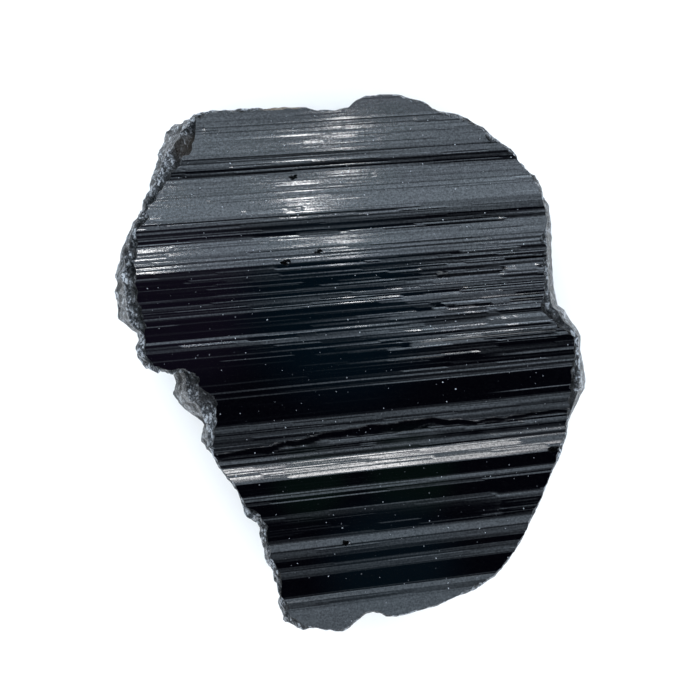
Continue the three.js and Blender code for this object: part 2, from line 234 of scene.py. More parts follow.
def fine_places(places, spacing):
    """Cuts each step between two places into equal steps near the spacing. Returns the new places and, for
    each of the new steps, the number of the old step that it lies in."""
    steps = np.maximum(1, np.round(np.abs(np.diff(places)) / spacing)).astype(int)
    owner = np.repeat(np.arange(len(steps)), steps)
    first = np.concatenate([[0], np.cumsum(steps)[:-1]])
    share = (np.arange(steps.sum()) - first[owner]) / steps[owner]
    fine = places[owner] + share * (places[owner + 1] - places[owner])
    return np.append(fine, places[-1]), owner


def ledge_tilts(places, x, plain, amount):
    """Tilts and strays of the fine lines with the broken ledge, and the share of each line that is crumbled
    there. A line's slope is the mean of the slopes of the zones that it lies in, by the share of its width
    in each, and its stray is that of the zone with more than half of it. It is crumbled from the start of the
    edge down to the reach below it."""
    upper, lower = places[:-1, None], places[1:, None]
    moved = np.interp(x, *LEDGE_BREAK.T) + LEDGE_RAGGED * lumps(x / LEDGE_RAGGED_LENGTH, 3.0)
    start, end = LEDGE_ROWS[0] + moved, LEDGE_ROWS[1] + moved
    plain_slope = np.tan(np.radians(plain))
    slope, amount = plain_slope.copy(), amount.copy()
    zones = [(LEDGE_ROWS[0], start), (start, end), (end, LEDGE_ROWS[1])]
    for (zone_start, zone_end), (zone_tilt, zone_stray) in zip(zones, LEDGE_TILTS):
        inside = np.clip(np.minimum(upper, zone_start) - np.maximum(lower, zone_end), 0, None)
        share = inside / (upper - lower)
        slope += share * (math.tan(math.radians(zone_tilt)) - plain_slope)
        amount[share > 0.5] = zone_stray
    reach = np.interp(x, *LEDGE_CRUMBLED.T) * (1 + CRUMBLED_STRAY * lumps(x / CRUMBLED_LENGTH, 9.0))
    inside = np.minimum(upper, start) - np.maximum(lower, end - reach)
    return np.degrees(np.arctan(slope)), amount, np.clip(inside / (upper - lower), 0, 1)


def local_tilts(places, x, tilt, amount):
    """Tilts and strays of the fine lines with the busy zone and the local stretches. In the busy zone a tilt
    comes nearer to level by some degrees. The ends of a stretch stray along X from one pair of lines to the
    next."""
    middle = 0.5 * (places[:-1, None] + places[1:, None])
    busy = (middle < BUSY_ZONE[0]) & (middle > BUSY_ZONE[1])
    flatter = busy * np.interp(x, BUSY_CHANGE[:, 0], BUSY_CHANGE[:, 1])
    tilt, amount = np.sign(tilt) * np.maximum(np.abs(tilt) - flatter, 0), amount.copy()
    end = LOCAL_END_STRAY * scatter(np.floor(np.arange(len(tilt))[:, None] / 2), 40)
    for upper, lower, left, right, stretch_tilt, stretch_stray in LOCAL_FACETS:
        inside = (middle < upper) & (middle > lower) & (x > left + end) & (x < right + end)
        tilt[inside] = stretch_tilt
        amount[inside] = stretch_stray
    return tilt, amount * np.where(busy, np.interp(x, BUSY_CHANGE[:, 0], BUSY_CHANGE[:, 2]), 1)


def line_strays(x, tilt):
    """By how many times the stray each fine line tilts off at each X. Some of it belongs to the line, some to
    a stretch of the line and some to a stretch of its group of lines, so that lines end abruptly and others
    start beside them. A few stretches are steep: those on dark facets tilt further out and those on bright
    ones further in."""
    row = np.arange(len(tilt))[:, None]
    group = np.floor(row / GROUP_LINES)
    length = STRETCH_LENGTH + STRETCH_SPREAD * scatter(row, 1)
    stretch = np.floor((x + STRETCH_START + STRETCH_SHIFT * scatter(row, 2)) / length)
    group_stretch = np.floor((x + STRETCH_START + STRETCH_SHIFT * scatter(group, 4)) / GROUP_LENGTH)
    stray = (LINE_STRAY * scatter(row, 3) + STRETCH_STRAY * scatter(row, stretch + 10)
             + GROUP_STRAY * scatter(group, group_stretch + 30))
    steep = scatter(row, stretch + 90) > 1 - 2 * STEEP_SHARE
    outwards = np.where(tilt > LOWER_TILT, 1, -1) * np.where(np.abs(tilt) > BRIGHT_TILT, -1, 1)
    return np.where(steep, outwards * STEEP_TIMES * (1 + STEEP_SPREAD * scatter(row, stretch + 50)), stray)


def line_tilts(places, facet, stations):
    """Plain tilt of each fine line at each station, that tilt with the broken ledge, the same with the local
    stretches too, the stray part on top, and the share of each line that is crumbled at the ledge."""
    x = stations[None, :]
    plain, amount = (np.broadcast_to(FRONT_FACETS[facet, column][:, None], (len(facet), len(stations)))
                     for column in (1, 2))
    ledged, amount, crumbled = ledge_tilts(places, x, plain, amount)
    local, amount = local_tilts(places, x, ledged, amount)
    return plain, ledged, local, STRAY_TIMES * amount * line_strays(x, local), crumbled


def bell_weights(stations, width):
    """Weights that blend values along the stations: column k is a bell curve of this width round station k,
    and it adds up to 1."""
    bell = np.exp(-0.5 * ((stations[:, None] - stations[None, :]) / width) ** 2)
    return bell / bell.sum(axis=0)


def waves(stations, across, size, length, width):
    """Smooth field over the front with values up to its size, of a length along X and a width across."""
    return size * lumps(stations[None, :] / length, across / width)


def front_points(stations):
    """Grid of places and heights of the front, lines by stations, and how far each point is crumbled. Heights
    are line widths times the tangents of their tilts, summed from the upper edge. What the broken ledge adds
    is evened out round it. What the local stretches add is blended along X by a bell curve and evened out
    over the whole width, and most of what it still adds at the crest is taken off everywhere. The straight
    drift that the stray tilts leave on each main facet is taken off, and there are gentle waves. The places
    wander a little."""
    places, facet = fine_places(FRONT_FACETS[:, 0], LINE_SPACING)
    inner = np.isin(places, FRONT_FACETS[:, 0], invert=True)
    places = places + inner * LINE_JITTER * LINE_SPACING * scatter(np.arange(len(places)), 7)
    width = (places[:-1] - places[1:])[:, None]
    start_row = np.zeros((1, len(stations)))
    plain_tilt, ledge_tilt, local_tilt, stray, crumbled = line_tilts(places, facet, stations)
    plain, ledged, stepped, strayed = (
        np.vstack([start_row, np.cumsum(width * np.tan(np.radians(tilt)), axis=0)])
        for tilt in (plain_tilt, ledge_tilt, local_tilt, local_tilt + stray))
    across = places[:, None]
    bell = bell_weights(stations, LOCAL_BLEND)
    broken = ledged - plain
    smooth_part = broken[-1] @ bell
    uneven_part = broken[-1] - smooth_part
    for part, (zone_start, zone_end) in ((smooth_part, LEDGE_EVENED), (uneven_part, LEDGE_STRIP)):
        broken = broken - part * np.clip((zone_start - across) / (zone_start - zone_end), 0, 1)
    added = (stepped - ledged) @ bell
    added = added - added[-1] * (places[0] - across) / (places[0] - places[-1])
    crest = np.argmax(plain[:, 0])
    added = added - SETTLED_SHARE * added[crest] @ bell_weights(stations, SETTLED_BLEND)
    drift = strayed - stepped
    edge = np.searchsorted(-places, -FRONT_FACETS[:, 0])
    owner = np.append(facet, facet[-1])
    start, end = edge[owner], edge[owner + 1]
    share = ((places - places[start]) / (places[end] - places[start]))[:, None]
    heights = plain + broken + added + drift - drift[start] * (1 - share) - drift[end] * share
    heights = heights + waves(stations, across, *WAVES)
    wander = waves(stations, across, *WANDER)
    crumbled = np.maximum(np.vstack([start_row, crumbled]), np.vstack([crumbled, start_row]))
    return across + wander, heights + facet_height[0], crumbled


def back_points(stations):
    """Grid of places and heights of the back: the back edges with fine lines between them, each raised from
    the straight face by nothing to twice the step, so that none goes below the resting plane."""
    count = np.arange(len(BACK_EDGES))
    length = np.concatenate([[0], np.cumsum(np.hypot(*np.diff(BACK_EDGES, axis=0).T))])
    fine, _ = fine_places(length, BACK_LINE_SPACING)
    number = np.interp(fine, length, count)
    place = np.interp(number, count, BACK_EDGES[:, 0])[:, None]
    height = np.interp(number, count, BACK_EDGES[:, 1])[:, None]
    stretch = np.floor(stations[None, :] / BACK_LENGTH)
    step = BACK_STEP * (1 + scatter(np.arange(len(fine))[:, None], stretch))
    return np.broadcast_to(place, step.shape), height + step


def closed_shape(name, rings):
    """Solid from rings of points, an array of ring by point by coordinate in millimetres. Neighbouring rings
    are joined by quads, and each end ring is closed by a fan to its mean point. The faces are turned round
    where the volume that they close, the sum of a . (b x c) over their corners, comes out below zero."""
    levels, around, _ = rings.shape
    points = np.vstack([rings.reshape(-1, 3), rings[0].mean(axis=0), rings[-1].mean(axis=0)])
    ring = np.arange(around)
    following = (ring + 1) % around
    base = (np.arange(levels - 1) * around)[:, None]
    above = base + around
    quads = np.stack([base + ring, base + following, above + following, above + ring], axis=-1).reshape(-1, 4)
    last = (levels - 1) * around
    first_fan = np.stack([np.full(around, levels * around), following, ring], axis=-1)
    last_fan = np.stack([np.full(around, levels * around + 1), last + ring, last + following], axis=-1)
    mesh = bpy.data.meshes.new(name)
    mesh.from_pydata((points * MM).tolist(), [], quads.tolist() + first_fan.tolist() + last_fan.tolist())
    a, b, c = (points[quads[:, corner]] for corner in range(3))
    if (a * np.cross(b, c)).sum() < 0:
        mesh.flip_normals()
    shape = bpy.data.objects.new(name, mesh)
    bpy.context.scene.collection.objects.link(shape)
    return shape


station_count = round(2 * PRISM_HALF_LENGTH / STATION_SPACING) + 1
stations = np.linspace(-PRISM_HALF_LENGTH, PRISM_HALF_LENGTH, station_count)
front_place, front_z, front_crumbled = front_points(stations)
back_place, back_z = back_points(stations)
prism_across = np.vstack([front_place, back_place]).T
prism_z = np.vstack([front_z, back_z]).T
prism_y = prism_across + stations[:, None] * line_rise(prism_across)
prism_rings = np.stack([np.broadcast_to(stations[:, None], prism_y.shape), prism_y, prism_z], axis=-1)
crystal = closed_shape("tourmaline_crystal_fine", prism_rings)


def mark_points(mesh, name, values):
    """Stores a value for each point of a mesh. Points that a cut adds later get zero."""
    mesh.attributes.new(name, "FLOAT", "POINT").data.foreach_set("value", values.astype(np.float32))


ring_crumbled = np.hstack([front_crumbled.T, np.zeros(back_z.T.shape)]).ravel()
mark_points(crystal.data, "crumbled", np.append(ring_crumbled, [0, 0]))


def linear(code):
    """Linear colour of an sRGB hex code such as #a0b0c0, with alpha 1."""
    parts = [int(code[k:k + 2], 16) / 255 for k in (1, 3, 5)]
    return tuple(c / 12.92 if c <= 0.04045 else ((c + 0.055) / 1.055) ** 2.4 for c in parts) + (1,)


def add_node(tree, kind, values=None, links=None, **settings):
    """Adds a shader node, sets its properties and input values, and links its inputs to other sockets."""
    node = tree.nodes.new("ShaderNode" + kind)
    for name, value in settings.items():
        setattr(node, name, value)
    for socket, value in (values or {}).items():
        node.inputs[socket].default_value = value
    for socket, source in (links or {}).items():
        tree.links.new(source, node.inputs[socket])
    return node


def new_material(name):
    """Empty node material with an output. Returns the material, its tree and its output node."""
    material = bpy.data.materials.new(name)
    material.use_nodes = True
    tree = material.node_tree
    tree.nodes.clear()
    return material, tree, add_node(tree, "OutputMaterial")


# Sockets of a mix node that mixes colours.
MIX_SHARE, MIX_FIRST, MIX_SECOND, MIX_RESULT = 0, 6, 7, 2
# How far in from its radius, as a share of it, a tint has its greatest share.
TINT_FULL = 0.6


def tinted(tree, place, colour, tints):
    """Colour with soft round patches of other colours: each is X, Y, Z and radius in millimetres, its
    greatest share and a hex code, and its share falls smoothly to nothing at its radius."""
    for x, y, z, radius, strength, code in tints:
        size = radius * MM
        centre = (-x * MM / size, -y * MM / size, -z * MM / size)
        centred = add_node(tree, "Mapping", {"Location": centre, "Scale": (1 / size,) * 3},
                           {"Vector": place}).outputs["Vector"]
        share = add_node(tree, "TexGradient", None, {"Vector": centred}, gradient_type="SPHERICAL")
        share = add_node(tree, "MapRange", {"From Max": TINT_FULL, "To Max": strength},
                         {"Value": share.outputs["Fac"]}, interpolation_type="SMOOTHSTEP").outputs["Result"]
        colour = add_node(tree, "Mix", {MIX_SECOND: linear(code)},
                          {MIX_SHARE: share, MIX_FIRST: colour}, data_type="RGBA").outputs[MIX_RESULT]
    return colour


def torn_place(tree, place, size, noise):
    """Place moved by a noise with these values, by up to a size in millimetres along each of X, Y and Z."""
    shift = add_node(tree, "TexNoise", noise, {"Vector": place}).outputs["Color"]
    shift = add_node(tree, "VectorMath", {1: (size * MM,) * 3}, {0: shift}, operation="MULTIPLY").outputs[0]
    return add_node(tree, "VectorMath", None, {0: shift, 1: place}, operation="ADD").outputs[0]


# Schorl, as grown: glossy, almost black prism faces. Seen through their gloss the stone is faintly purple at
# the left end and blue-green in the middle. Lines finer than the mesh are a bump that runs with the growth
# lines, 0.15 mm apart. Etch marks and the dust in them break up the gloss. They are too fine to show, and are
# drawn 0.2 mm wide. Rubbed specks of about 0.1 mm catch the light. The crumbled ledge is dull.
SCHORL_IOR = 1.64
STONE_COLOUR = "#010103"
DUST_COLOUR = "#08090b"
SPECK_COLOUR = "#9aa1a9"
DEPTH_TINTS = [
    (-17, 6, 19, 12, 1, "#07050b"), (-1, 6, 21, 13, 1, "#01060b"), (6, -11, 19, 6, 1, "#020605"),
    (-4, -12, 19, 5, 1, "#020605"), (4, -20, 16, 9, 1, "#02060a"),
]
# How many there are to a millimetre: fine lines, changes along one, etch marks, specks, notches in the
# outline of a speck, and clouds in the gloss.
LINES_PER_MM = 6.5
LINE_CHANGES_PER_MM = 0.16
ETCH_MARKS_PER_MM = 5
SPECKS_PER_MM = 1.6
SPECK_NOTCHES_PER_MM = 6
CLOUDS_PER_MM = 0.35
# Radius of the smallest and largest specks, as shares of their spacing, and depth of their notches in mm.
SPECK_RADII = (0.04, 0.14)
SPECK_NOTCH = 0.2
# Height of the fine lines, the share of it that the etch marks have, and the most dust in them.
FINE_LINE_HEIGHT = 0.003
ETCH_SHARE = 0.3
DUST_SHARE = 0.4
# Roughness of the clouds and what full wear adds to it, and the least and greatest specular level between
# the etch marks.
CLOUD_ROUGHNESS = (0.08, 0.12)
WORN_ROUGHNESS = 0.5
ETCHED_SPECULAR = (0.3, 0.74)

grown_face, tree, output = new_material("schorl_grown_face")
place = add_node(tree, "TexCoord").outputs["Object"]
across = add_node(tree, "Attribute", attribute_name="line_place").outputs["Fac"]
parts = add_node(tree, "SeparateXYZ", links={"Vector": place})
along = add_node(tree, "Math", {1: LINE_CHANGES_PER_MM / MM}, {0: parts.outputs["X"]},
                 operation="MULTIPLY").outputs[0]
over = add_node(tree, "Math", {1: LINES_PER_MM}, {0: across}, operation="MULTIPLY").outputs[0]
line_space = add_node(tree, "CombineXYZ", links={"X": along, "Y": over}).outputs["Vector"]
fine_lines = add_node(tree, "TexNoise", {"Scale": 1.0, "Detail": 2.0, "Roughness": 0.6},
                      {"Vector": line_space}, noise_dimensions="2D").outputs["Fac"]
stone = add_node(tree, "RGB")
stone.outputs[0].default_value = linear(STONE_COLOUR)
depth = tinted(tree, place, stone.outputs[0], DEPTH_TINTS)
# One speck in each cell, brighter in some cells than in others, fading out from 0.4 of its radius.
torn = torn_place(tree, place, SPECK_NOTCH, {"Scale": SPECK_NOTCHES_PER_MM / MM})
cells = add_node(tree, "TexVoronoi", {"Scale": SPECKS_PER_MM / MM, "Randomness": 1.0}, {"Vector": torn})
cell_values = add_node(tree, "SeparateColor", links={"Color": cells.outputs["Color"]})
size = add_node(tree, "MapRange", {"To Min": SPECK_RADII[0], "To Max": SPECK_RADII[1]},
                {"Value": cell_values.outputs["Red"]}).outputs["Result"]
away = add_node(tree, "Math", None, {0: cells.outputs["Distance"], 1: size}, operation="DIVIDE").outputs[0]
inside = add_node(tree, "MapRange", {"From Min": 1.0, "From Max": 0.4}, {"Value": away}).outputs["Result"]
light = add_node(tree, "Math", {1: 1.5}, {0: cell_values.outputs["Green"]}, operation="POWER").outputs[0]
specks = add_node(tree, "Math", None, {0: inside, 1: light}, operation="MULTIPLY").outputs[0]
# Where the etching noise is high the face is glossier and holds more dust.
etched = add_node(tree, "TexNoise", {"Scale": ETCH_MARKS_PER_MM / MM, "Detail": 2.0, "Roughness": 0.7},
                  {"Vector": place}).outputs["Fac"]
dust = add_node(tree, "MapRange", {"From Min": 0.45, "From Max": 0.75, "To Max": DUST_SHARE},
                {"Value": etched}).outputs["Result"]
base = depth
for code, share in ((DUST_COLOUR, dust), (SPECK_COLOUR, specks)):
    base = add_node(tree, "Mix", {MIX_SECOND: linear(code)}, {MIX_SHARE: share, MIX_FIRST: base},
                    data_type="RGBA").outputs[MIX_RESULT]
clouds = add_node(tree, "TexNoise", {"Scale": CLOUDS_PER_MM / MM, "Detail": 3.0},
                  {"Vector": place}).outputs["Fac"]
cloudy = {"From Min": 0.3, "From Max": 0.75, "To Min": CLOUD_ROUGHNESS[0], "To Max": CLOUD_ROUGHNESS[1]}
cloudy = add_node(tree, "MapRange", cloudy, {"Value": clouds}).outputs["Result"]
# Specks and the crumbled ledge are worn: rougher, and without gloss where fully worn.
crumbled = add_node(tree, "Attribute", attribute_name="crumbled").outputs["Fac"]
worn = add_node(tree, "Math", None, {0: specks, 1: crumbled}, operation="ADD").outputs[0]
rough = add_node(tree, "Math", {1: WORN_ROUGHNESS}, {0: worn, 2: cloudy}, operation="MULTIPLY_ADD").outputs[0]
shine = {"From Min": 0.3, "From Max": 0.7, "To Min": ETCHED_SPECULAR[0], "To Max": ETCHED_SPECULAR[1]}
shine = add_node(tree, "MapRange", shine, {"Value": etched}).outputs["Result"]
unworn = add_node(tree, "MapRange", {"To Min": 1.0, "To Max": 0.0}, {"Value": worn}).outputs["Result"]
shine = add_node(tree, "Math", None, {0: shine, 1: unworn}, operation="MULTIPLY").outputs[0]
relief = add_node(tree, "Math", {1: ETCH_SHARE}, {0: etched, 2: fine_lines},
                  operation="MULTIPLY_ADD").outputs[0]
bump = add_node(tree, "Bump", {"Strength": 1.0, "Distance": FINE_LINE_HEIGHT * MM},
                {"Height": relief}).outputs["Normal"]
shader = add_node(tree, "BsdfPrincipled", {"IOR": SCHORL_IOR}, {
    "Base Color": base, "Specular IOR Level": shine, "Roughness": rough, "Normal": bump})
tree.links.new(shader.outputs["BSDF"], output.inputs["Surface"])
crystal.data.materials.append(grown_face)

# The broken sides.
# The piece was broken out of its prism all round, so its outline is ragged and its sides are uneven, granular
# breaks that lean in under the front. They are made by cutting the prism to an upright lumpy shape.

# Outline seen from above, clockwise from its upper left corner: X, Y, and how far inside it the front ends.
OUTLINE = np.array([
    (-15.4, 24.9, 0.4), (-13.8, 25.2, 0.2), (-10.0, 25.4, 0.15), (-6.0, 25.55, 0.1), (-4.4, 25.5, 0.1),
    (-3.2, 25.25, 0.1), (-1.6, 25.25, 0.1), (-0.2, 25.6, 0.1), (0.6, 26.3, 0.1), (1.6, 26.7, 0.1),
    (3.0, 26.85, 0.1), (4.6, 26.85, 0.1), (6.2, 26.4, 0.1), (7.4, 26.1, 0.1), (8.4, 25.4, 0.15),
    (9.6, 25.05, 0.3), (11.0, 24.75, 0.4), (12.2, 24.3, 0.5), (13.4, 23.4, 0.4), (14.4, 22.4, 0.4),
    (15.6, 21.7, 0.8), (16.6, 20.7, 0.4), (17.5, 19.4, 0.3), (18.4, 18.6, 0.4), (19.0, 17.5, 0.5),
    (19.3, 16.5, 0.5), (19.9, 15.6, 1.1), (20.05, 14.2, 1.2), (20.15, 12.2, 1.4), (20.2, 10.0, 1.3),
    (20.3, 7.7, 1.3), (20.6, 6.2, 1.4), (20.7, 5.7, 1.2), (21.4, 5.2, 1.4), (22.0, 4.3, 1.6),
    (22.6, 3.5, 1.2), (23.0, 2.6, 0.8), (22.95, 1.2, 0.6), (23.2, 0, 0.9), (23.5, -1.2, 1.3),
    (23.4, -2.6, 1.3), (22.9, -3.6, 0.8), (22.3, -4.9, 0.5), (21.7, -6.0, 0.2), (21.6, -7.0, 0.2),
    (21.2, -8.4, 0.2), (20.8, -9.6, 0.15), (20.2, -10.8, 0.1), (19.2, -13.3, 0.1), (18.0, -15.8, 0.1),
    (17.0, -18.0, 0.1), (15.8, -19.8, 0.15), (14.5, -21.4, 0.15), (13.0, -22.4, 0.15), (10.8, -23.5, 0.1),
    (8.6, -24.4, 0.1), (6.4, -25.0, 0.1), (4.6, -25.55, 0.1), (3.6, -25.5, 0.1), (3.0, -25.1, 0.1),
    (2.3, -24.95, 0.1), (1.6, -25.2, 0.1), (0.8, -25.8, 0.1), (0, -26.5, 0.1), (-0.7, -26.9, 0.1),
    (-2.4, -26.8, 0.1), (-3.8, -26.6, 0.15), (-4.7, -26.75, 0.3), (-5.8, -26.2, 0.6), (-6.6, -25.7, 0.8),
    (-6.9, -24.6, 0.8), (-7.1, -23.3, 0.8), (-7.25, -22.1, 0.6), (-7.6, -20.9, 0.6), (-8.3, -19.8, 0.9),
    (-8.7, -18.3, 0.9), (-8.9, -16.8, 0.9), (-9.2, -16.0, 1.0), (-10.3, -15.5, 0.8), (-10.7, -14.3, 0.3),
    (-11.2, -13.1, 0.2), (-11.9, -12.0, 0.15), (-12.8, -10.9, 0.15), (-13.6, -9.4, 0.15), (-14.4, -8.5, 1.2),
    (-14.8, -7.4, 1.7), (-14.7, -6.3, 2.0), (-15.4, -5.4, 2.3), (-16.1, -4.7, 2.8), (-17.2, -4.1, 3.2),
    (-17.7, -3.0, 2.9), (-17.4, -2.1, 2.2), (-17.9, -1.1, 2.0), (-19.2, -0.8, 1.3), (-20.3, -0.6, 0.9),
    (-20.9, 0.4, 0.9), (-21.3, 1.3, 1.0), (-21.0, 2.2, 0.8), (-21.2, 2.9, 0.9), (-22.2, 3.6, 1.8),
    (-23.1, 4.4, 2.7), (-23.4, 5.7, 2.7), (-23.55, 7.2, 2.6), (-23.5, 8.5, 2.3), (-23.2, 9.7, 1.8),
    (-22.7, 11.2, 1.4), (-22.3, 12.7, 1.3), (-21.7, 14.1, 1.1), (-20.9, 15.3, 0.9), (-20.7, 16.2, 1.0),
    (-20.0, 17.1, 0.8), (-19.7, 18.2, 1.2), (-19.4, 19.7, 1.8), (-19.2, 21.2, 2.8), (-18.8, 22.6, 3.1),
    (-18.0, 23.6, 3.0), (-17.0, 24.1, 2.0), (-16.0, 24.3, 0.8),
])
# The cutting shape reaches from this far above the crest to this height.
CUT_ABOVE = 3.0
CUT_BELOW = -2.0
# The ridge lies in from the outline by this share of the rim's width. It and the widest line lie below the
# front by a depth, plus a fall for each millimetre of that width.
RIDGE_PLACE = 0.45
RIDGE_DEPTH = 0.3
RIDGE_FALL = 0.3
WIDEST_DEPTH = 0.9
WIDEST_FALL = 1.5
# How far the side leans in for each millimetre down, at the left and right ends and at the other two edges,
# and depth and size of its lumps.
END_LEAN = 0.26
EDGE_LEAN = 0.04
LARGE_LUMPS = (1.6, 7.5)
SMALL_LUMPS = (0.6, 2.4)
# Bays are evened out over this length, and are gone at this share of the way down.
BAY_LENGTH = 9.0
BAYS_GONE = 0.35
# Levels of points in the side, and how far their heights stray.
SIDE_LEVELS = 9
SIDE_STRAY = 0.5
# Spacing of the mesh: along the outline, down the rim that shows from above, and down the side below it.
AROUND_SPACING = 0.2
RIM_SPACING = 0.16
SIDE_SPACING = 0.36
# Grain of the break: depth and size of its coarse, middle and fine lumps, how much longer than wide they are
# along the break, and the parts of the smooth field and the creased one in them. A creased field falls from
# its top by its fall at a full unit of the field that it comes from.
BREAK_GRAIN = [(0.25, 1.6), (0.3, 0.8), (0.22, 0.42)]
GRAIN_STRETCH = 1.5
SMOOTH_PART = 0.6
CREASED_PART = 0.8
CREASE_TOP = 0.5
CREASE_FALL = 1.6
# Along and down, how far the fields of one size are shifted from those of the last: smooth and creased.
SMOOTH_SHIFT = (13, 31)
CREASED_SHIFT = (57, 71)
# The rim of the left end has a ridge, which is full from 10 mm left of the middle on, and a furrow parts the
# front from the rim. Both vary by a share at a length along the break.
RIDGE_HEIGHT = 0.12
RIDGE_FULL = 10
FURROW_DEPTH = 0.3
UNEVEN_SHARE = 0.3
UNEVEN_LENGTH = 1.1
# A narrow rim has less grain: the least share, and the width that adds a whole share. So has the widest line.
NARROW_SHARE = 0.3
WIDE_RIM = 1.3
WIDEST_SHARE = 0.8
# The right-hand end broke smoothly: grain there, between two Y, fades between two X to this share of that
# elsewhere.
SMOOTH_END = 0.3
SMOOTH_END_Y = (-5, 17)
SMOOTH_END_X = (17, 20)
# How pale the break is drawn, partly rubbed wear and partly painted shade and light: on the whole, then paler
# for each millimetre that it is pushed out, which paints its lumps light and its hollows dark, paler on the
# ridge and where it is smooth, and darker at the front, which paints shade in the furrow there.
RUBBED_MEAN = 0.42
PAINTED_RELIEF_PUSH = 0.8
RUBBED_RIDGE = 0.2
RUBBED_SMOOTH = 0.2
PAINTED_FURROW_SHADE = 0.5
# Below the rim the break is less rubbed, by this much, and the change takes this length down the side.
FRESH_SHARE = 0.32
FRESH_LENGTH = 2.5


def break_columns():
    """Coarse points of the broken sides, level by outline point: X, Y, height, share of the grain, and how
    near the point is to the ridge of the rim and to the end of the front. Each outline point has a column:
    two points where the front ends, one on the ridge, one at the widest line, and the side below. Going down,
    the side leans in and turns from its own radius to the mean radius round it, with the weight 3t^2 - 2t^3,
    and two sizes of lumps are taken off it."""
    x, y, rim = OUTLINE.T
    count = np.arange(len(x))
    along = np.cumsum(np.hypot(x - np.roll(x, 1), y - np.roll(y, 1)))
    radius = np.hypot(x, y)
    near = np.hypot(x[:, None] - x, y[:, None] - y) < BAY_LENGTH / 2
    mean = (near * radius).sum(axis=1) / near.sum(axis=1)
    front = front_height(x * (1 - rim / radius), y * (1 - rim / radius))
    widest = front - WIDEST_DEPTH - WIDEST_FALL * rim - SIDE_STRAY * np.abs(scatter(count, 0))
    lean = EDGE_LEAN + (END_LEAN - EDGE_LEAN) * (x / radius) ** 2
    top = np.full(len(x), CREST_HEIGHT + CUT_ABOVE)
    distance = [radius - rim, radius - rim, radius - RIDGE_PLACE * rim, radius]
    height = [top, front, front - RIDGE_DEPTH - RIDGE_FALL * rim, widest]
    for level in range(1, SIDE_LEVELS + 1):
        share = level / SIDE_LEVELS
        z = widest + (CUT_BELOW - widest) * share + SIDE_STRAY * scatter(count, level) * (1 - share)
        deep = min(share / BAYS_GONE, 1)
        deep = deep * deep * (3 - 2 * deep)
        large, small = (depth * (0.5 + 0.5 * lumps(along / size, z / size))
                        for depth, size in (LARGE_LUMPS, SMALL_LUMPS))
        side = radius + (mean - radius) * deep - (widest - z) * lean - deep * large - small
        distance.append(np.minimum(radius, side))
        height.append(z)
    out = np.array(distance) / radius
    at_end = (y > SMOOTH_END_Y[0]) & (y < SMOOTH_END_Y[1])
    smooth = np.where(at_end, np.interp(x, SMOOTH_END_X, [1, SMOOTH_END]), 1)
    wide = np.clip(NARROW_SHARE + rim / WIDE_RIM, NARROW_SHARE, 1)
    everywhere, nowhere = np.ones(len(x)), np.zeros(len(x))
    amount = np.array([wide, wide, wide * smooth, WIDEST_SHARE * wide * smooth] + [smooth] * SIDE_LEVELS)
    ridge = np.array([nowhere, nowhere, np.clip(-x / RIDGE_FULL, 0, 1), nowhere] + [nowhere] * SIDE_LEVELS)
    front_end = np.array([everywhere, everywhere, nowhere, nowhere] + [nowhere] * SIDE_LEVELS)
    return np.stack([x * out, y * out, np.array(height), amount, ridge, front_end], axis=-1)


def refine(columns, axis, spacing, closed):
    """Cuts the steps of a grid of points along one axis into finer ones, along straight lines. The number of
    cuts in a step comes from its mean length; a closed grid is joined back to its first row."""
    grid = np.moveaxis(columns, axis, 0)
    if closed:
        grid = np.concatenate([grid, grid[:1]])
    steps = np.linalg.norm(np.diff(grid[..., :3], axis=0), axis=-1).mean(axis=1)
    starts = np.concatenate([[0], np.cumsum(steps)])
    places, owner = fine_places(starts, spacing)
    share = ((places[:-1] - starts[owner]) / steps[owner])[:, None, None]
    fine = grid[owner] * (1 - share) + grid[owner + 1] * share
    if not closed:
        fine = np.concatenate([fine, grid[-1:]])
    return np.moveaxis(fine, 0, axis)


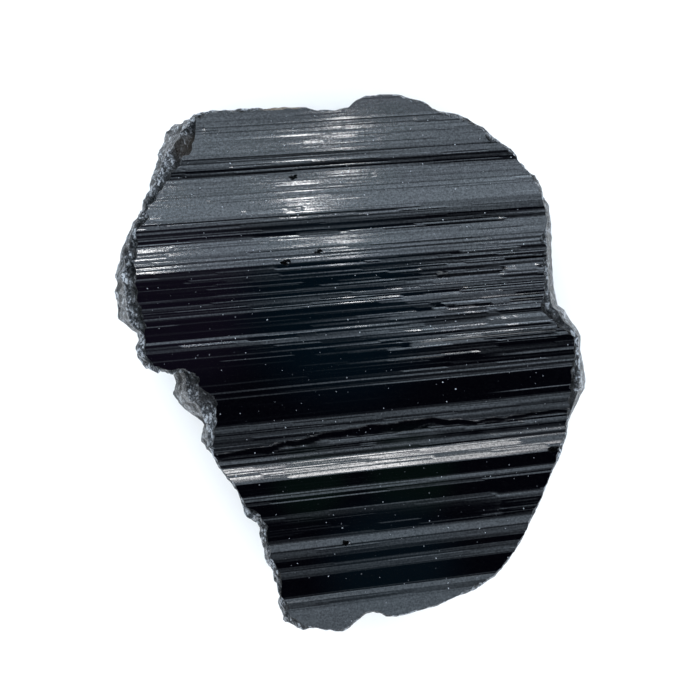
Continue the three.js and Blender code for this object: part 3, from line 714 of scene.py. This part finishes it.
def grain(points):
    """Pushes each point in or out by three sizes of lumps times its share of the grain, taken on the length
    along the break and the way down it. Each size is a smooth field plus a creased one, a top less the
    absolute value of another field. The ridge of the rim is added as the fourth power of the nearness n to
    it, and the furrow beside the front as 4n(1 - n), n being the nearness to the front. The push is along the
    surface's own direction. Returns the points and how pale each one is drawn, from 0 to 1, partly rubbed
    wear and partly painted shade and light: the mean, plus multiples of the push, which paints the lumps
    light and the hollows dark, of the ridge and of the lack of grain, less one of the nearness to the front
    squared, which paints shade in the furrow."""
    amount, ridge, front_end, points = points[..., 3], points[..., 4], points[..., 5], points[..., :3]
    along = np.cumsum(np.linalg.norm(points[2] - np.roll(points[2], 1, axis=0), axis=-1))[None, :]
    drops = np.linalg.norm(np.diff(points, axis=0, prepend=points[:1]), axis=-1)
    down = np.cumsum(drops.mean(axis=1))[:, None]
    step_around = np.roll(points, -1, axis=1) - np.roll(points, 1, axis=1)
    step_down = np.gradient(points, axis=0)
    facing = np.cross(step_around, step_down)
    facing /= np.maximum(np.linalg.norm(facing, axis=-1, keepdims=True), 1e-9)
    outwards = np.sign((facing[..., :2] * points[..., :2]).sum(axis=-1).mean())
    push = 0
    for number, (depth, size) in enumerate(BREAK_GRAIN):
        far, deep = along / (GRAIN_STRETCH * size), down / size
        smooth = lumps(far + SMOOTH_SHIFT[0] * number, deep + SMOOTH_SHIFT[1] * number)
        creased = np.abs(lumps(far + CREASED_SHIFT[0] * number, deep + CREASED_SHIFT[1] * number))
        push = push + depth * (SMOOTH_PART * smooth + CREASED_PART * (CREASE_TOP - CREASE_FALL * creased))
    uneven = 1 - UNEVEN_SHARE + UNEVEN_SHARE * lumps(along / UNEVEN_LENGTH, 5.0)
    raised = ridge ** 4 * uneven
    sunk = 4 * front_end * (1 - front_end) * uneven
    # Besides wear, this paints shade and light: the push makes hollows darker and lumps paler, and the
    # nearness to the front paints shade in the furrow.
    rubbed_and_painted_shade = (RUBBED_MEAN + PAINTED_RELIEF_PUSH * push + RUBBED_RIDGE * raised - PAINTED_FURROW_SHADE * front_end ** 2
              + RUBBED_SMOOTH * (1 - amount))
    push = push + RIDGE_HEIGHT * raised - FURROW_DEPTH * sunk
    return points + outwards * facing * (push * amount)[..., None], np.clip(rubbed_and_painted_shade, 0, 1)


# Schorl, broken: a glassy but granular break, grey where it is crumbled and rubbed. Painted shade makes it
# almost black in its hollows and in the furrow beside the front, and painted light makes its lumps paler.
# Thin pale streaks along it are painted glints. A little iron from the ground has stained it brown in
# places, and one patch at the left end is almost black and faintly purple. Its grains, too fine to show, are
# drawn 0.4 mm wide along X and 1.1 mm long along Y, with crumbs of half that on them.
GRAINS_PER_MM = 1.5
CRUMBS_PER_MM = 3.0
PAINTED_GLINT_STREAKS_PER_MM = 0.9
TEARS_PER_MM = 1.6
# How far the pattern is torn out of place, in mm, and how much finer it is along X, Y and Z.
TEAR = 1.6
DRAWN_OUT = (1.5, 0.6, 1.0)
# What goes into how pale a spot is, besides the crumbs: a share of its grain's own tone, a share of how
# rubbed it is together with the painted shade and light of the relief, and the painted glint streaks. The
# pale end and the dark end of all that are then stretched to 1 and 0.
SHADE_SHARE = 0.4
RUBBED_AND_PAINTED_SHADE_SHARE = 0.9
PAINTED_GLINT_SHARE = 0.35
PAINTED_GLINT_WIDTH = 0.03
DARK_END = 0.67
PALE_END = 1.36
# Open joints between the grains: greatest width, as a share of a grain where there are most crumbs, and how
# pale they still are.
JOINT_WIDTH = 0.45
JOINT_PALENESS = 0.1
BREAK_COLOURS = [(0.0, "#040506"), (0.25, "#15171a"), (0.5, "#34383d"), (0.75, "#6d7278"), (1.0, "#9ba1a8")]
STAINS = [
    (-16.6, 21.7, 15, 2.2, 0.55, "#2e2822"), (-6.5, 25.6, 14, 3.0, 0.7, "#5e4c30"),
    (-14.5, -3.5, 18, 3.5, 0.6, "#0c090d"),
]
BREAK_SPECULAR = (0.08, 0.5)
BREAK_ROUGHNESS = (0.2, 0.5)
# Height of the crumbs in mm, and of the grains and of the steps between them as multiples of that.
CRUMB_HEIGHT = 0.12
GRAIN_TIMES = 1.2
STEP_TIMES = 0.5

broken_face, tree, output = new_material("schorl_break")
place = add_node(tree, "TexCoord").outputs["Object"]
rubbed_and_painted_shade = add_node(tree, "Attribute", attribute_name="rubbed_and_painted_shade").outputs["Fac"]
torn = torn_place(tree, place, TEAR, {"Scale": TEARS_PER_MM / MM, "Detail": 4.0, "Roughness": 0.7})
streaked = add_node(tree, "Mapping", {"Scale": DRAWN_OUT}, {"Vector": torn}).outputs["Vector"]
crumbs = add_node(tree, "TexNoise", {"Scale": CRUMBS_PER_MM / MM, "Detail": 3.0, "Roughness": 0.7},
                  {"Vector": streaked}).outputs["Fac"]
grains = add_node(tree, "TexVoronoi", {"Scale": GRAINS_PER_MM / MM}, {"Vector": streaked})
shade = add_node(tree, "SeparateColor", links={"Color": grains.outputs["Color"]}).outputs["Red"]
joints = add_node(tree, "TexVoronoi", {"Scale": GRAINS_PER_MM / MM}, {"Vector": streaked},
                  feature="DISTANCE_TO_EDGE").outputs["Distance"]
joint_width = add_node(tree, "Math", {1: JOINT_WIDTH}, {0: crumbs}, operation="MULTIPLY").outputs[0]
open_joints = add_node(tree, "MapRange", {"From Min": 0.0, "To Min": JOINT_PALENESS}, {
    "Value": joints, "From Max": joint_width}).outputs["Result"]
# A painted glint streak, a thin pale line, is where a noise is within its width of one half.
painted_glint_streaks = add_node(tree, "TexNoise", {"Scale": PAINTED_GLINT_STREAKS_PER_MM / MM, "Detail": 3.0, "Roughness": 0.6},
                 {"Vector": streaked}).outputs["Fac"]
painted_glint_streaks = add_node(tree, "Math", {1: 0.5}, {0: painted_glint_streaks}, operation="SUBTRACT").outputs[0]
painted_glint_streaks = add_node(tree, "Math", None, {0: painted_glint_streaks}, operation="ABSOLUTE").outputs[0]
painted_glint_streaks = add_node(tree, "MapRange", {"From Max": PAINTED_GLINT_WIDTH, "To Min": PAINTED_GLINT_SHARE, "To Max": 0.0},
                 {"Value": painted_glint_streaks}).outputs["Result"]
pale = crumbs
# The rubbed part also carries painted shade in the hollows and the furrow and painted light on the lumps.
for share, part in ((SHADE_SHARE, shade), (RUBBED_AND_PAINTED_SHADE_SHARE, rubbed_and_painted_shade)):
    pale = add_node(tree, "Math", {1: share}, {0: part, 2: pale}, operation="MULTIPLY_ADD").outputs[0]
pale = add_node(tree, "Math", None, {0: pale, 1: painted_glint_streaks}, operation="ADD").outputs[0]
pale = add_node(tree, "MapRange", {"From Min": DARK_END, "From Max": PALE_END},
                {"Value": pale}).outputs["Result"]
pale = add_node(tree, "Math", None, {0: pale, 1: open_joints}, operation="MULTIPLY").outputs[0]
ramp = add_node(tree, "ValToRGB", links={"Fac": pale})
stops = ramp.color_ramp.elements
for stop, (share, code) in zip(stops, (BREAK_COLOURS[0], BREAK_COLOURS[-1])):
    stop.position, stop.color = share, linear(code)
for share, code in BREAK_COLOURS[1:-1]:
    stops.new(share).color = linear(code)
stained = tinted(tree, place, ramp.outputs["Color"], STAINS)
shine = {"From Max": 0.5, "To Min": BREAK_SPECULAR[0], "To Max": BREAK_SPECULAR[1]}
shine = add_node(tree, "MapRange", shine, {"Value": pale}).outputs["Result"]
rough = {"From Min": 0.3, "From Max": 0.7, "To Min": BREAK_ROUGHNESS[0], "To Max": BREAK_ROUGHNESS[1]}
rough = add_node(tree, "MapRange", rough, {"Value": crumbs}).outputs["Result"]
height = crumbs
for times, part in ((GRAIN_TIMES, joints), (STEP_TIMES, shade)):
    height = add_node(tree, "Math", {1: times}, {0: part, 2: height}, operation="MULTIPLY_ADD").outputs[0]
bump = add_node(tree, "Bump", {"Strength": 1.0, "Distance": CRUMB_HEIGHT * MM},
                {"Height": height}).outputs["Normal"]
shader = add_node(tree, "BsdfPrincipled", {"IOR": SCHORL_IOR}, {
    "Base Color": stained, "Specular IOR Level": shine, "Roughness": rough, "Normal": bump})
tree.links.new(shader.outputs["BSDF"], output.inputs["Surface"])
crystal.data.materials.append(broken_face)


def cut_to(shape, operation):
    """Cuts the crystal with another closed shape, whose faces bring the broken material, and removes it."""
    shape.data.materials.append(grown_face)
    shape.data.materials.append(broken_face)
    shape.data.polygons.foreach_set("material_index", np.ones(len(shape.data.polygons), dtype=np.int32))
    cut = crystal.modifiers.new("break", "BOOLEAN")
    cut.operation = operation
    cut.solver = "MANIFOLD"
    cut.object = shape
    bpy.context.view_layer.update()
    cut_mesh = bpy.data.meshes.new_from_object(crystal.evaluated_get(bpy.context.evaluated_depsgraph_get()))
    crystal.modifiers.clear()
    crystal.data = cut_mesh
    bpy.data.objects.remove(shape)


columns = refine(break_columns(), 1, AROUND_SPACING, True)
rim_rows = refine(columns[:4], 0, RIM_SPACING, False)
side_rows = refine(columns[3:], 0, SIDE_SPACING, False)
break_rings, rubbed_and_painted_shade_rings = grain(np.concatenate([rim_rows, side_rows[1:]]))
below_rim = (np.arange(len(break_rings)) - len(rim_rows))[:, None] * SIDE_SPACING
rubbed_and_painted_shade_rings = rubbed_and_painted_shade_rings - FRESH_SHARE * np.clip(below_rim / FRESH_LENGTH, 0, 1)
break_shape = closed_shape("break_shape", break_rings)
mark_points(break_shape.data, "rubbed_and_painted_shade", np.append(rubbed_and_painted_shade_rings.ravel(), [0, 0]))
mark_points(crystal.data, "rubbed_and_painted_shade", np.zeros(len(crystal.data.vertices)))
cut_to(break_shape, "INTERSECT")

# The pits.
# A few small bits were knocked out of the front faces, each leaving a black pit almost 1 mm long with a
# crushed white crumb or two at its edge. They are rough closed shapes taken out of the solid.

# X, Y and radius of each pit, how much longer it is along X, the share by which its radius strays, and how
# far above the front its middle lies.
PITS = [
    (-6.35, 9.95, 0.33), (-3.1, 11.0, 0.28), (-5.7, 18.5, 0.3), (20.35, -8.7, 0.33), (-0.4, -18.1, 0.3),
]
PIT_STRETCH = 1.6
PIT_STRAY = 0.3
PIT_LIFT = 0.05
# Its mesh: rings, points in a ring, and how many degrees the end rings lie up and down.
PIT_RINGS = 8
PIT_POINTS = 12
PIT_END_RING = 85
# Share of the points of a pit that are crushed white, and how rubbed they and the black ones are.
CRUSHED_SHARE = 0.08
CRUSHED_RUBBED = 1.3
BLACK_RUBBED = -0.4


def pit_rings(number, x, y, radius):
    """Rough ball, level by level: the sines and cosines of two angles times the radius, stretched along X and
    swollen or shrunk by the stray at each point, and by as much again at each turn round it. Its middle lies
    just above the front, whose height is that of the fine lines there."""
    lift = np.radians(np.linspace(-PIT_END_RING, PIT_END_RING, PIT_RINGS))[:, None]
    turn = np.radians(np.arange(PIT_POINTS) * 360 / PIT_POINTS)[None, :]
    ring, point = np.arange(PIT_RINGS)[:, None], np.arange(PIT_POINTS)[None, :]
    swell = radius * (1 + PIT_STRAY * (scatter(ring * 17 + number, point) + scatter(number + 5, point)))
    station = np.abs(stations - x).argmin()
    middle = np.interp(across_at(x, y), front_place[::-1, station], front_z[::-1, station]) + PIT_LIFT
    aside = PIT_STRETCH * swell * np.cos(lift) * np.cos(turn)
    ahead = swell * np.cos(lift) * np.sin(turn)
    return np.stack([x + aside, y + ahead, middle + swell * np.sin(lift)], axis=-1)


for number, (x, y, radius) in enumerate(PITS):
    pit_shape = closed_shape("pit_shape", pit_rings(number, x, y, radius))
    chance = 0.5 + 0.5 * scatter(np.arange(len(pit_shape.data.vertices)), number)
    mark_points(pit_shape.data, "rubbed_and_painted_shade", np.where(chance < CRUSHED_SHARE, CRUSHED_RUBBED, BLACK_RUBBED))
    cut_to(pit_shape, "DIFFERENCE")

points = np.empty(len(crystal.data.vertices) * 3)
crystal.data.vertices.foreach_get("co", points)
points = points.reshape(-1, 3) / MM
mark_points(crystal.data, "line_place", across_at(points[:, 0], points[:, 1]))

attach(crystal, "root")
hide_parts("tourmaline_crystal")

# The studio.
# Plain soft light on a white floor: a sky that is dark overhead and light to both sides, a strip light behind
# each of its light parts, and a few small lamps near the piece, which show as the bright spots in its facets.

SKY_COLOUR = "#daecfd"
LAMP_COLOUR = "#f1efef"
SKY_STRENGTH = 3.3
# Angle from straight up towards +Y, in degrees, and share of the full strength.
SKY = [(-90, 0.25), (-62, 0.40), (-46, 0.52), (-38, 0.44), (-30, 0.25), (-22, 0.08), (-14, 0.012), (-9, 0.0),
       (9, 0.0), (14, 0.012), (20, 0.055), (26, 0.15), (32, 0.28), (38, 0.44), (44, 0.58), (52, 0.80),
       (60, 0.72), (68, 0.5), (80, 0.3), (90, 0.28)]

world = bpy.data.worlds.new("studio")
world.use_nodes = True
bpy.context.scene.world = world
tree = world.node_tree
tree.nodes.clear()
direction = add_node(tree, "TexCoord").outputs["Generated"]
parts = add_node(tree, "SeparateXYZ", links={"Vector": direction})
angle = add_node(tree, "Math", None, {0: parts.outputs["Y"], 1: parts.outputs["Z"]},
                 operation="ARCTAN2").outputs[0]
share = add_node(tree, "MapRange", {"From Min": -math.pi / 2, "From Max": math.pi / 2},
                 {"Value": angle}).outputs["Result"]
ramp = add_node(tree, "ValToRGB", links={"Fac": share})
stops = ramp.color_ramp.elements
stops[0].position, stops[1].position = 0, 1
stops[0].color, stops[1].color = (SKY[0][1],) * 3 + (1,), (SKY[-1][1],) * 3 + (1,)
for degrees, level in SKY[1:-1]:
    stop = stops.new((degrees + 90) / 180)
    stop.color = (level, level, level, 1)
strength = add_node(tree, "Math", {1: SKY_STRENGTH}, {0: ramp.outputs["Color"]},
                    operation="MULTIPLY").outputs[0]
sky = add_node(tree, "Background", {"Color": linear(SKY_COLOUR)}, {"Strength": strength})
add_node(tree, "OutputWorld", links={"Surface": sky.outputs["Background"]})


def soft_light(name, target, tilt, reach, width, depth, radiance, across=0.0, colour=LAMP_COLOUR):
    """Rectangular light that looks at a target from a direction tilted away from straight up, towards +Y if
    above zero, and is then moved along X. Lengths are millimetres and the tilt degrees, and its power is its
    radiance times its area times pi."""
    light = bpy.data.lights.new(name, "AREA")
    light.shape = "RECTANGLE"
    light.size = width * MM
    light.size_y = depth * MM
    light.energy = radiance * width * depth * MM * MM * math.pi
    light.color = linear(colour)[:3]
    holder = bpy.data.objects.new(name, light)
    angle = math.radians(tilt)
    towards = Vector((0, math.sin(angle), math.cos(angle)))
    holder.location = (Vector(target) + Vector((across, 0, 0)) + reach * towards) * MM
    holder.rotation_euler = (-angle, 0, 0)
    holder.visible_camera = False
    bpy.context.scene.collection.objects.link(holder)
    return holder


soft_light("upper_strip", (0, 5, 20), 63, 400, 700, 22, 3.0, colour=SKY_COLOUR)
soft_light("lower_strip", (0, -10, 19), -58.5, 400, 700, 34, 6.3)
soft_light("upper_lamp", (1, 17, 19), 48.6, 150, 3.5, 7, 26.0, -0.2)
soft_light("upper_left_lamp", (-4.5, 17, 19), 54.4, 150, 3.5, 9, 42.0, -2.8)
soft_light("far_left_lamp", (-19.5, 17, 19), 47.5, 150, 2, 8, 60.0, -13.2)
soft_light("lower_lamp", (-1, -10, 19), -58.5, 150, 26, 9, 8.0, 9.0)
# The fill lights the floor and the dull breaks, and doesn't show in the glossy faces.
fill = soft_light("overhead_fill", (0, 0, 0), 0, 1100, 1600, 1600, 2.8, colour="#ffffff")
fill.visible_glossy = False

# White paper: matt, so that it only shows the soft shadow. The sheet reaches this many metres each way.
PAPER_COLOUR = "#f4f4f3"
PAPER_REACH = 2
corners = [(x * PAPER_REACH, y * PAPER_REACH, 0) for x, y in ((-1, -1), (1, -1), (1, 1), (-1, 1))]
floor_mesh = bpy.data.meshes.new("floor")
floor_mesh.from_pydata(corners, [], [(0, 1, 2, 3)])
floor = bpy.data.objects.new("floor", floor_mesh)
bpy.context.scene.collection.objects.link(floor)
paper, tree, output = new_material("white_paper")
shader = add_node(tree, "BsdfPrincipled", {"Base Color": linear(PAPER_COLOUR), "Roughness": 0.7})
tree.links.new(shader.outputs["BSDF"], output.inputs["Surface"])
floor_mesh.materials.append(paper)

# The camera looks straight down at a field 70 mm wide, at a height in the upper part of the piece, and stands
# a little above its middle in Y, as in the photograph. Its sensor is 36 mm wide.
CAMERA_DISTANCE = 900
FIELD = 70
FOCUS_HEIGHT = 16
CAMERA_Y = 1.2
SENSOR = 36
lens = bpy.data.cameras.new("camera")
lens.sensor_width = SENSOR
lens.lens = SENSOR * CAMERA_DISTANCE / FIELD
camera = bpy.data.objects.new("camera", lens)
camera.location = (0, CAMERA_Y * MM, (CAMERA_DISTANCE + FOCUS_HEIGHT) * MM)
bpy.context.scene.collection.objects.link(camera)
bpy.context.scene.camera = camera
bpy.context.scene.view_settings.view_transform = "Standard"
